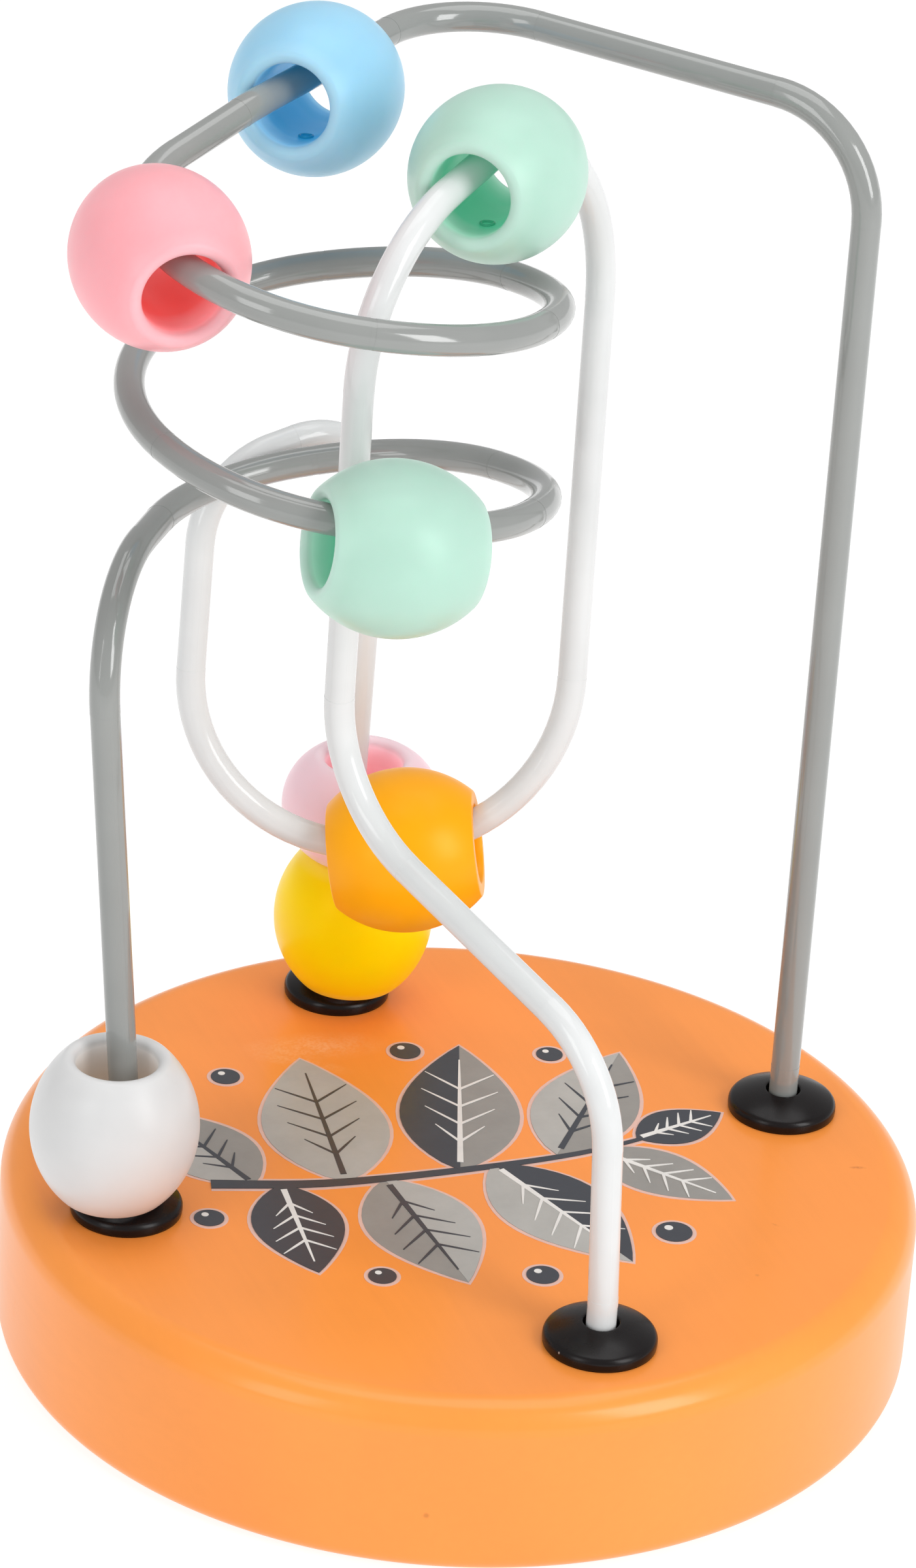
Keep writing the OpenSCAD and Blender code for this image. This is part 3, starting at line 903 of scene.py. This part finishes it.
def bead_outline(bore, outer, half, lip, ring, steps_in_bore, deep):
    """Closed outline of a bead and its masks.

    The barrel is an arc that runs smoothly into a lip at each end. A ring between lip and bore
    may be flat. The bore's mask, which paints shade into the bore, grows over a depth from the lip.
    """
    lip_x, lip_z = bore + ring + lip, half - lip
    drop = outer - lip_x
    barrel = (drop * drop + lip_z * lip_z - lip * lip) / (2 * (drop - lip))
    swing = math.degrees(math.asin(lip_z / (barrel - lip)))
    # The upper half from bore to barrel: radius, height, bore mask and lip mask
    upper = []
    for depth, height in reversed(steps_in_bore):
        upper.append((bore + depth, lip_z - height, min(1, MOUTH_MASK + height / deep), 0))
    if ring > 0:
        bevel = 0.3 * lip
        upper += [(bore, half - bevel, 1, 0), (bore + bevel, half, BEVEL_MASK, 1)]
        upper.append((bore + bevel + ring / 2, half, 0, 1))
    else:
        for i, (x, z) in enumerate(arc((lip_x, lip_z), lip, 180, 92, steps=14)):
            inside = max(0, LIP_MASK - i / BORE_FADE)
            upper.append((x, z, inside, 1 - inside))
    lip_steps = 12
    for i, (x, z) in enumerate(arc((lip_x, lip_z), lip, 90, swing, lip_steps)):
        upper.append((x, z, 0, 1 - 0.5 * i / lip_steps))
    sweep = arc((outer - barrel, 0), barrel, swing, 0, steps=24)
    for i, (x, z) in enumerate(sweep[1:-1]):
        upper.append((x, z, 0, max(0, 0.5 - i / LIP_FADE)))
    # The point at the bore's middle belongs to both halves and is kept once
    lower = [(x, -z, inside, edge) for x, z, inside, edge in reversed(upper) if z > TINY]
    xs, zs, bores, edges = zip(*upper, (outer, 0, 0, 0), *lower)
    # The lip mask carries a moulded bead's painted highlight, the bore mask its painted shade
    masks = {"bore": bores, "lip": edges, "edge": edges, "mark": [0] * len(xs)}
    return list(zip(xs, zs)), masks


def mould_steps(half, lip, step):
    """(depth, distance from the lip) of the faint steps that a mould leaves in a bore."""
    deep = half - lip
    return [
        (0, 0.4 * MM), (0, 1.1 * MM), (step, 1.2 * MM), (step, 2.2 * MM),
        (2 * step, 2.3 * MM), (2 * step, 0.5 * deep), (2 * step, 0.75 * deep), (2 * step, deep)
    ]


def add_mark(mesh, place, bore, settings, height):
    """Adds the small round mark of a mould pin, a thin ring, to a bore's wall."""
    side = place.inverted().to_3x3() @ Vector(settings.mark_side)
    facing = math.atan2(side.y, side.x)
    marked = bmesh.new()
    marked.from_mesh(mesh)
    around, across = 20, 8
    thick = 0.2 * settings.mark
    rings = []
    for i in range(around):
        turn = 2 * math.pi * i / around
        ring = []
        for j in range(across):
            roll = 2 * math.pi * j / across
            reach = settings.mark + thick * math.cos(roll)
            sideways, upwards = reach * math.cos(turn), reach * math.sin(turn)
            radius = bore + thick * math.sin(roll)
            bend = facing + sideways / bore
            corner = (radius * math.cos(bend), radius * math.sin(bend), height + upwards)
            ring.append(marked.verts.new(place @ Vector(corner)))
        rings.append(ring)
    # The ring takes the bore's painted shade and glow, and a darker painted shade from its mark
    # mask
    for label in ("bore", "mark"):
        layer = marked.verts.layers.float.get(label)
        for ring in rings:
            for vertex in ring:
                vertex[layer] = 1
    for i, ring in enumerate(rings):
        after = rings[(i + 1) % around]
        for j in range(across):
            k = (j + 1) % across
            marked.faces.new((ring[j], after[j], after[k], ring[k]))
    bmesh.ops.recalc_face_normals(marked, faces=marked.faces)
    marked.to_mesh(mesh)
    marked.free()


# The stage

# Half width of the floor, and the gap below the base, in metres
FLOOR_HALF, FLOOR_GAP = 3.0, 0.05 * MM
# Place of each light, and its width and height, in metres
SOFTBOXES = {
    "key": ((0.32, -0.62, 0.42), (0.28, 0.5)),
    "fill": ((-0.72, -0.38, 0.4), (0.25, 0.5)),
    "top": ((0.05, 0.1, 0.95), (0.7, 0.7)),
}
# Point that the lights face
LIGHT_AIM = (0, 0, 0.06)


# Operators

class MazeOperator:
    """What all the operators share."""

    bl_options = {"REGISTER", "UNDO"}


class BEADMAZE_OT_stage(MazeOperator, bpy.types.Operator):
    """Sets up the floor, the lights and the camera"""

    bl_idname = "bead_maze.stage"
    bl_label = "Stage"

    def execute(self, context):
        settings = context.scene.maze_stage
        self.lay_floor(settings)
        self.light(context, settings)
        self.set_camera(context, settings)
        context.scene.view_settings.view_transform = "Standard"
        return {"FINISHED"}

    def lay_floor(self, settings):
        """Lays the floor just below the base."""
        mesh = bpy.data.meshes.new("floor")
        ways = ((-1, -1), (1, -1), (1, 1), (-1, 1))
        corners = [(x * FLOOR_HALF, y * FLOOR_HALF, -FLOOR_GAP) for x, y in ways]
        mesh.from_pydata(corners, [], [(0, 1, 2, 3)])
        new_piece("floor", mesh, floor_surface(settings))

    def light(self, context, settings):
        """Sets up white surroundings and the lights."""
        world = bpy.data.worlds.new("Studio")
        world.use_nodes = True
        sky = world.node_tree.nodes["Background"]
        sky.inputs["Color"].default_value = (1, 1, 1, 1)
        sky.inputs["Strength"].default_value = settings.sky
        context.scene.world = world
        for name, (place, size) in SOFTBOXES.items():
            light = bpy.data.lights.new(name, "AREA")
            light.shape = "RECTANGLE"
            light.size, light.size_y = size
            light.energy = getattr(settings, name)
            lamp = bpy.data.objects.new(name, light)
            lamp.location = place
            aim = Vector(LIGHT_AIM) - Vector(place)
            lamp.rotation_euler = aim.to_track_quat("-Z", "Y").to_euler()
            context.scene.collection.objects.link(lamp)

    def set_camera(self, context, settings):
        """Sets the camera at its distance from the target."""
        data = bpy.data.cameras.new("camera")
        data.lens = settings.lens
        data.sensor_width = settings.sensor
        data.clip_start, data.clip_end = 0.01, 20
        camera = bpy.data.objects.new("camera", data)
        tilt = Matrix.Rotation(math.pi / 2 - settings.elevation, 3, "X")
        turn = Matrix.Rotation(settings.azimuth, 3, "Z") @ tilt
        back = turn @ Vector((0, 0, 1))
        roll = Matrix.Rotation(settings.roll, 3, "Z")
        camera.matrix_world = (turn @ roll).to_4x4()
        camera.location = Vector(settings.target) + back * settings.distance
        context.scene.collection.objects.link(camera)
        context.scene.camera = camera


class BEADMAZE_OT_base(MazeOperator, bpy.types.Operator):
    """Builds the painted base"""

    bl_idname = "bead_maze.base"
    bl_label = "Base"

    def execute(self, context):
        settings = context.scene.maze_base
        low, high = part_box("base")
        radius = (high.x - low.x) / 2
        place = Matrix.Translation(((low.x + high.x) / 2, (low.y + high.y) / 2, low.z))
        outline, masks = base_outline(radius, high.z - low.z, settings)
        mesh = lathe("painted_base", outline, settings.segments, place, False, masks)
        piece = new_piece("painted_base", mesh, base_paint(settings))
        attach(piece, "root")
        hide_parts("base")
        return {"FINISHED"}


class BEADMAZE_OT_print(MazeOperator, bpy.types.Operator):
    """Prints a sprig of leaves and berries on the base"""

    bl_idname = "bead_maze.print"
    bl_label = "Print"

    def execute(self, context):
        settings = context.scene.maze_print
        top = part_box("base")[1].z
        for layer, (ink, outlines) in enumerate(sprig_shapes(settings).items()):
            finish = printed_ink(f"Ink {ink}", getattr(settings, ink))
            high = top + (layer + 1) * settings.film
            piece = ink_plate(f"print_{ink}", outlines, high - 2 * settings.film, high, finish)
            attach(piece, "root")
        return {"FINISHED"}


class BEADMAZE_OT_caps(MazeOperator, bpy.types.Operator):
    """Builds the black caps at the feet of the wires"""

    bl_idname = "bead_maze.caps"
    bl_label = "Caps"

    def execute(self, context):
        settings = context.scene.maze_caps
        finish = cap_plastic(settings)
        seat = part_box("base")[1].z
        for node in CAPS:
            low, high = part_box(node)
            middle = Vector(((low.x + high.x) / 2, (low.y + high.y) / 2, seat))
            outline = cap_outline((high.x - low.x) / 2, cap_hole(node, middle), settings)
            name = node.replace("cap", "dome")
            mesh = lathe(name, outline, settings.segments, Matrix.Translation(middle), True)
            piece = new_piece(name, mesh, finish)
            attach(piece, "root")
            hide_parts(node)
        return {"FINISHED"}


class BEADMAZE_OT_wires(MazeOperator, bpy.types.Operator):
    """Coats the two bent wires"""

    bl_idname = "bead_maze.wires"
    bl_label = "Wires"

    def execute(self, context):
        settings = context.scene.maze_wires
        coatings = {
            "grey_wire": (settings.grey, settings.grey_gloss),
            "white_wire": (settings.white, settings.white_gloss),
        }
        for node, (tone, gloss) in coatings.items():
            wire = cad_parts[node]
            title = node.replace("_", " ").capitalize()
            wire.data.materials.clear()
            wire.data.materials.append(wire_coating(title, tone, settings.speck, gloss))
        return {"FINISHED"}


class BEADMAZE_OT_moulded_beads(MazeOperator, bpy.types.Operator):
    """Builds the moulded plastic beads"""

    bl_idname = "bead_maze.moulded_beads"
    bl_label = "Moulded beads"

    def execute(self, context):
        settings = context.scene.maze_beads
        finishes = {}
        for node, tint in MOULDED_BEADS.items():
            if tint not in finishes:
                title = tint.replace("_", " ").capitalize() + " plastic"
                # The bore colour is the plastic's painted shade deeper in its bore
                plastic, inside = getattr(settings, tint), getattr(settings, tint + "_bore")
                # Only the yellow plastic's body gets a share of the painted glow
                clear = settings.yellow_body_glow if tint == "yellow" else 0
                finishes[tint] = moulded_plastic(title, plastic, inside, clear, settings)
            place, bore, outer, half = measure_bead(node, *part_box(node))
            steps = mould_steps(half, settings.lip, settings.step)
            outline, masks = bead_outline(bore, outer, half, settings.lip, 0, steps, settings.deep)
            name = node.replace("_bead", "_moulding")
            mesh = lathe(name, outline, settings.segments, place, True, masks)
            if node in MARKED_BEADS:
                add_mark(mesh, place, bore, settings, half - settings.mark_depth)
            piece = new_piece(name, mesh, finishes[tint])
            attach(piece, node)
            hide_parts(node)
        return {"FINISHED"}


class BEADMAZE_OT_turned_bead(MazeOperator, bpy.types.Operator):
    """Builds the turned and painted wooden bead"""

    bl_idname = "bead_maze.turned_bead"
    bl_label = "Turned bead"

    def execute(self, context):
        settings = context.scene.maze_beads
        place, bore, outer, half = measure_bead("orange_bead", *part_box("orange_bead"))
        plain = [(0, 0.5 * MM), (0, 3 * MM), (0, half - settings.ring_edge)]
        outline, masks = bead_outline(
            bore, outer, half, settings.ring_edge, settings.ring, plain, settings.deep
        )
        mesh = lathe("turned_bead", outline, settings.segments, place, True, masks)
        piece = new_piece("turned_bead", mesh, bead_paint(settings))
        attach(piece, "orange_bead")
        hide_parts("orange_bead")
        return {"FINISHED"}


OPERATORS = (
    BEADMAZE_OT_stage, BEADMAZE_OT_base, BEADMAZE_OT_print, BEADMAZE_OT_caps,
    BEADMAZE_OT_wires, BEADMAZE_OT_moulded_beads, BEADMAZE_OT_turned_bead
)


class BEADMAZE_PT_build(bpy.types.Panel):
    """Lists the steps that build the maze"""

    bl_idname = "BEADMAZE_PT_build"
    bl_label = "Bead Maze"
    bl_space_type = "VIEW_3D"
    bl_region_type = "UI"
    bl_category = "Bead Maze"

    def draw(self, context):
        for operator in OPERATORS:
            self.layout.operator(operator.bl_idname)
        for name, group in SETTINGS.items():
            box = self.layout.box()
            box.label(text=name.replace("_", " ").capitalize())
            for field in group.__annotations__:
                box.prop(getattr(context.scene, name), field)


CLASSES = (*SETTINGS.values(), *OPERATORS, BEADMAZE_PT_build)


def register():
    for cls in CLASSES:
        bpy.utils.register_class(cls)
    for name, group in SETTINGS.items():
        setattr(bpy.types.Scene, name, PointerProperty(type=group))


def unregister():
    for name in SETTINGS:
        delattr(bpy.types.Scene, name)
    for cls in reversed(CLASSES):
        bpy.utils.unregister_class(cls)


def main():
    register()
    bpy.ops.bead_maze.stage()
    bpy.ops.bead_maze.base()
    bpy.ops.bead_maze.print()
    bpy.ops.bead_maze.caps()
    bpy.ops.bead_maze.wires()
    bpy.ops.bead_maze.moulded_beads()
    bpy.ops.bead_maze.turned_bead()


if __name__ == "__main__":
    main()
